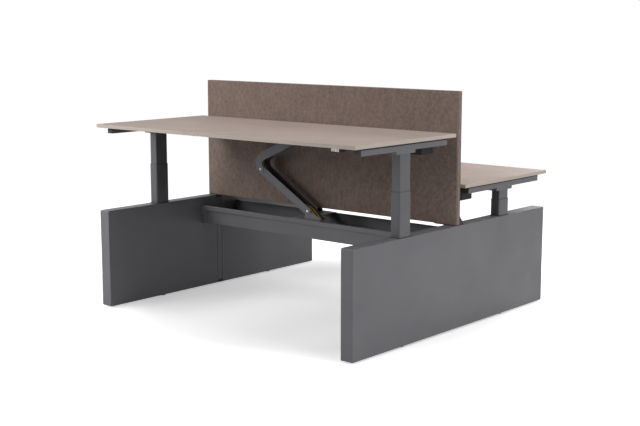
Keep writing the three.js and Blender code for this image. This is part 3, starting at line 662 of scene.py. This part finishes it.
def bar_caps(desk):
    """Plastic caps on the ends of the side bars, with a shallow recess."""
    bm = bmesh.new()
    for side, sign in SIDES.items():
        low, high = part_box(f"{desk}_{side}_side_bar")
        outer = (low.x if sign < 0 else high.x) - sign * RING_PLAY
        wide = sorted((outer, outer - sign * (BAR_WIDE - 2 * RING_PLAY)))
        for end, out in ((low.y, -1), (high.y, 1)):
            reach = sorted((end, end + out * CAP_THICK))
            bottom, top = high.z - BAR_TALL + RING_PLAY, high.z - RING_PLAY
            verts = add_block(bm, (wide[0], reach[0], bottom), (wide[1], reach[1], top))
            round_edges(bm, along(edges_of(verts), Y_AXIS), 0.002, CORNER_STEPS)
    bm.normal_update()
    ends = facing(bm.faces, Y_AXIS) + facing(bm.faces, -Y_AXIS)
    bmesh.ops.inset_individual(bm, faces=ends, thickness=CAP_RIM, use_even_offset=True)
    bmesh.ops.inset_individual(bm, faces=ends, thickness=0.0004, depth=-0.0004, use_even_offset=True)
    new_piece(desk + "_bar_caps", bm, desk + "_desk", "black_plastic", cap_plastic)


def offset_line(corners, sign, reach):
    """A line of corners in an upright plane, moved sideways to the web side of an arm."""
    runs = [(end - start).normalized() for start, end in zip(corners, corners[1:])]
    sides = [run.cross(Y_AXIS) * -sign for run in runs]
    moved = [corners[0] + sides[0] * reach]
    for corner, first, second in zip(corners[1:], sides, sides[1:]):
        moved.append(corner + (first + second) * reach / (1 + first.dot(second)))
    return moved + [corners[-1] + sides[-1] * reach]


def rounded_line(corners, bends):
    """The points of a line through corners, each corner rounded off from a distance before it."""
    line = [corners[0]]
    for before, corner, after, bend in zip(corners, corners[1:], corners[2:], bends):
        start = corner + (before - corner).normalized() * bend
        end = corner + (after - corner).normalized() * bend
        for step in range(BEND_STEPS + 1):
            share = step / BEND_STEPS
            line.append(start.lerp(corner, share).lerp(corner.lerp(end, share), share))
    line.append(corners[-1])
    points = [line[0]]
    for start, end in zip(line, line[1:]):
        count = math.ceil((end - start).length / CABLE_GRAIN)
        points += [start.lerp(end, step / count) for step in range(1, count + 1)]
    return points


def add_cable(bm, points, sheath):
    """A round cable along a line of points, added to a bmesh with its sheath's material."""
    line = bpy.data.curves.new("cable line", "CURVE")
    line.dimensions = "3D"
    line.bevel_depth = CABLE_ROUND
    line.bevel_resolution = 2
    line.use_fill_caps = True
    spline = line.splines.new("POLY")
    spline.points.add(len(points) - 1)
    for knot, place in zip(spline.points, points):
        knot.co = (*place, 1.0)
    holder = bpy.data.objects.new("cable line", line)
    mesh = bpy.data.meshes.new_from_object(holder)
    count = len(bm.faces)
    bm.from_mesh(mesh)
    for face in list(bm.faces)[count:]:
        face.material_index = sheath
    bpy.data.objects.remove(holder)
    bpy.data.curves.remove(line)
    bpy.data.meshes.remove(mesh)


def arm_points(desk):
    """An arm's pivots at the foot and the knee, its elbow and its nose, and the ways of its two channels."""
    foot, knee = (JOINT_AT[f"{desk}_{joint}"] for joint in ("arm_swing", "arm_knee"))
    lower = (knee - foot).normalized()
    upper = Vector((-lower.x, 0, lower.z))
    rise = upper.cross(Y_AXIS) * -DESKS[desk]
    elbow = knee + upper * CRANK_LEAN + rise * CRANK_RISE
    nose = knee + upper * ARM_LENGTH + rise * HEAD_RISE
    return foot, knee, elbow, nose, lower, (nose - elbow).normalized()


def arm_cables(desk):
    """Cables from the panel's end of the tray, up through both channels of an arm to a clamp near the desk."""
    sign = DESKS[desk]
    foot, knee, elbow, nose, lower, run = arm_points(desk)
    split = foot + lower * CABLE_SPLIT
    clamped = nose - run * CLAMP_SETBACK
    tray_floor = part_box("cable_tray")[0].z + 0.002 + CABLE_ROUND
    tray_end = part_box("cable_tray")[1].x
    upper_bm, lower_bm = bmesh.new(), bmesh.new()
    corners = [split, knee, elbow, clamped]
    upper_line = offset_line(corners, sign, CABLE_LIFT)
    upper_line[2] = offset_line(corners, sign, CRANK_LIFT)[2]
    web = (upper_line[0] - split).normalized()
    dip = foot + lower * DIP_SETBACK + web * CABLE_LIFT
    over = foot + lower * OVER_SETBACK - web * PIN_LIFT
    away = -sign
    down = foot + X_AXIS * away * PORT_REACH - Z_AXIS * PORT_DROP
    for index, sheath in enumerate(CABLE_SHEATHS):
        place = index - (len(CABLE_SHEATHS) - 1) / 2
        shift = Y_AXIS * place * CABLE_STEP
        add_cable(upper_bm, rounded_line([corner + shift for corner in upper_line], (KNEE_BEND, CRANK_BEND)), sheath)
        hole = tray_floor + 0.0125 + 0.009 * (index % 2)
        side = down.y + shift.y
        route = [corner + shift for corner in (upper_line[0], dip, over, down)]
        route += [
            Vector((down.x + away * 0.012, side, tray_floor + 0.05)),
            Vector((down.x + away * 0.03, side, tray_floor)),
            Vector((away * (tray_end - 0.12), place * 0.0047, tray_floor)),
            Vector((away * (tray_end - 0.04), place * 0.0047, hole)),
            Vector((away * (tray_end + 0.012), place * 0.0047, hole)),
        ]
        add_cable(lower_bm, rounded_line(route, (DIP_BEND, DIP_BEND) + (PORT_BEND,) * 5), sheath)
    knee_cables = new_piece(desk + "_knee_cables", upper_bm, None, "black_plastic", *cable_sheaths)
    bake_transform(knee_cables)
    foot_cables = new_piece(desk + "_foot_cables", lower_bm, None, "black_plastic", *cable_sheaths)
    away = X_AXIS * -sign
    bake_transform(foot_cables)


def arm_fittings(desk):
    """Bolts at an arm's pivots, washers on its studs, and the clamp that holds its cables."""
    foot, knee, elbow, nose, lower, run = arm_points(desk)
    low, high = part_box(desk + "_lower_arm")
    half = (high.y - low.y) / 2
    stud = Vector((foot.x, foot.y, 2 * knee.z - foot.z))
    low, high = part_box(desk + "_upper_arm")
    stud_half = (high.y - low.y) / 2
    upper_bm, base_bm, clamp_bm = bmesh.new(), bmesh.new(), bmesh.new()
    for axis in (Y_AXIS, -Y_AXIS):
        add_screw(upper_bm, knee + axis * (half + ARM_NEST), axis, 0.006, 0.002)
        add_disc(upper_bm, stud + axis * stud_half, axis, 0.008, 0.0016, 0.0004)
        add_disc(base_bm, foot + axis * half, axis, 0.0068, 0.0006, 0.0002)
    new_piece(desk + "_knee_bolts", upper_bm, desk + "_upper_arm", "drive_steel", zinc)
    new_piece(desk + "_foot_bolts", base_bm, "base", "drive_steel", zinc)
    centre = nose - run * CLAMP_SETBACK + run.cross(Y_AXIS) * -DESKS[desk] * CABLE_LIFT
    turn = run.to_track_quat("X", "Z")
    place = Matrix.LocRotScale(centre, turn, CLAMP_SIZE)
    verts = bmesh.ops.create_cube(clamp_bm, size=1.0, matrix=place)["verts"]
    round_edges(clamp_bm, edges_of(verts), 0.0015, EDGE_STEPS)
    new_piece(desk + "_cable_clamp", clamp_bm, desk + "_upper_arm", "black_plastic", FINISH["black_plastic"])


for node, slot in SLOT_OF.items():
    if node.endswith("handset"):
        handset(node.split("_")[0])
    elif slot in EDGE_ROUND:
        finish_node(node, rounded_copy(node), FINISH[slot])
    else:
        frame["nodes"][node].material_slots[0].material = FINISH[slot]

for desk in DESKS:
    worktop(desk)
    box_fittings(desk)
    bar_shadow_strips(desk)
    bar_caps(desk)
    button_arrows(desk)
    arm_cables(desk)
    arm_fittings(desk)
screen_cover()
column_rings()


# ---------------------------------------------------------------- stage


def floor_finish():
    """A white floor: it takes the object's shadow, and fades to plain white away from it."""
    material = bpy.data.materials.new("studio floor")
    material.use_nodes = True
    tree = material.node_tree
    tree.nodes.clear()
    place = add_node(tree, "ShaderNodeTexCoord").outputs["Object"]
    away = add_node(tree, "ShaderNodeVectorMath", {0: place}, operation="LENGTH").outputs["Value"]
    lift = spread(tree, away, 0.42, 1.0, 0.95, 1.7)
    strength = calculate(tree, "MULTIPLY", lift, seen_directly(tree))
    glow = add_node(tree, "ShaderNodeEmission", {"Strength": strength}).outputs[0]
    paint = add_node(tree, "ShaderNodeBsdfDiffuse", {"Color": (0.84, 0.84, 0.84, 1.0)}).outputs[0]
    both = add_node(tree, "ShaderNodeAddShader", {0: paint, 1: glow}).outputs[0]
    add_node(tree, "ShaderNodeOutputMaterial", {"Surface": both})
    return material


def seen_directly(tree):
    """1 for what the camera, a reflection or a clear part sees, and 0 for the light that falls on the object."""
    path = add_node(tree, "ShaderNodeLightPath").outputs
    mirrored = calculate(tree, "MAXIMUM", path["Is Glossy Ray"], path["Is Transmission Ray"])
    return calculate(tree, "MAXIMUM", path["Is Camera Ray"], mirrored)


def studio(ambient):
    scene = bpy.context.scene
    scene.view_settings.view_transform = "Standard"
    world = bpy.data.worlds.new("studio")
    scene.world = world
    world.use_nodes = True
    tree = world.node_tree
    strength = spread(tree, seen_directly(tree), ambient, 1.0, 0.0, 1.0)
    tree.links.new(strength, tree.nodes["Background"].inputs["Strength"])
    tree.nodes["Background"].inputs["Color"].default_value = (1.0, 1.0, 1.0, 1.0)
    bm = bmesh.new()
    bmesh.ops.create_grid(bm, x_segments=2, y_segments=2, size=30.0)
    mesh = bpy.data.meshes.new("floor")
    bm.to_mesh(mesh)
    bm.free()
    mesh.materials.append(floor_finish())
    floor = bpy.data.objects.new("floor", mesh)
    scene.collection.objects.link(floor)


def softbox(name, at, look, size, power):
    """A square area light at a place, turned to a point."""
    data = bpy.data.lights.new(name, "AREA")
    data.shape = "SQUARE"
    data.size = size
    data.energy = power
    light = bpy.data.objects.new(name, data)
    light.location = at
    light.rotation_euler = (Vector(look) - Vector(at)).to_track_quat("-Z", "Y").to_euler()
    bpy.context.scene.collection.objects.link(light)


def camera():
    data = bpy.data.cameras.new("camera")
    data.lens = 67.35
    eye = bpy.data.objects.new("camera", data)
    eye.location = (4.2345, -4.98, 1.5611)
    eye.rotation_euler = (math.pi / 2 - 0.159, 0.0, 0.708)
    bpy.context.scene.collection.objects.link(eye)
    bpy.context.scene.camera = eye


studio(0.015)
softbox("front left softbox", (-2.0, -3.2, 1.75), (-0.6, -0.3, 0.6), 1.1, 34.0)
softbox("front softbox", (-1.3, -4.2, 2.4), (-0.4, -0.3, 0.6), 1.4, 32.0)
softbox("left softbox", (-2.6, -2.3, 2.6), (-0.6, -0.3, 0.7), 1.2, 24.0)
softbox("far left softbox", (-3.4, -1.4, 3.4), (-0.5, -0.3, 0.7), 1.6, 40.0)
softbox("right softbox", (4.6, -0.7, 2.7), (0.9, -0.1, 0.7), 2.2, 48.0)
softbox("low right softbox", (4.8, 0.2, 1.5), (0.9, 0.1, 0.6), 2.0, 38.0)
softbox("overhead softbox", (1.7, -0.2, 3.7), (0.5, 0.0, 0.9), 2.2, 44.0)
softbox("rear softbox", (0.5, 2.4, 2.1), (0.6, 0.45, 0.75), 1.2, 40.0)
camera()
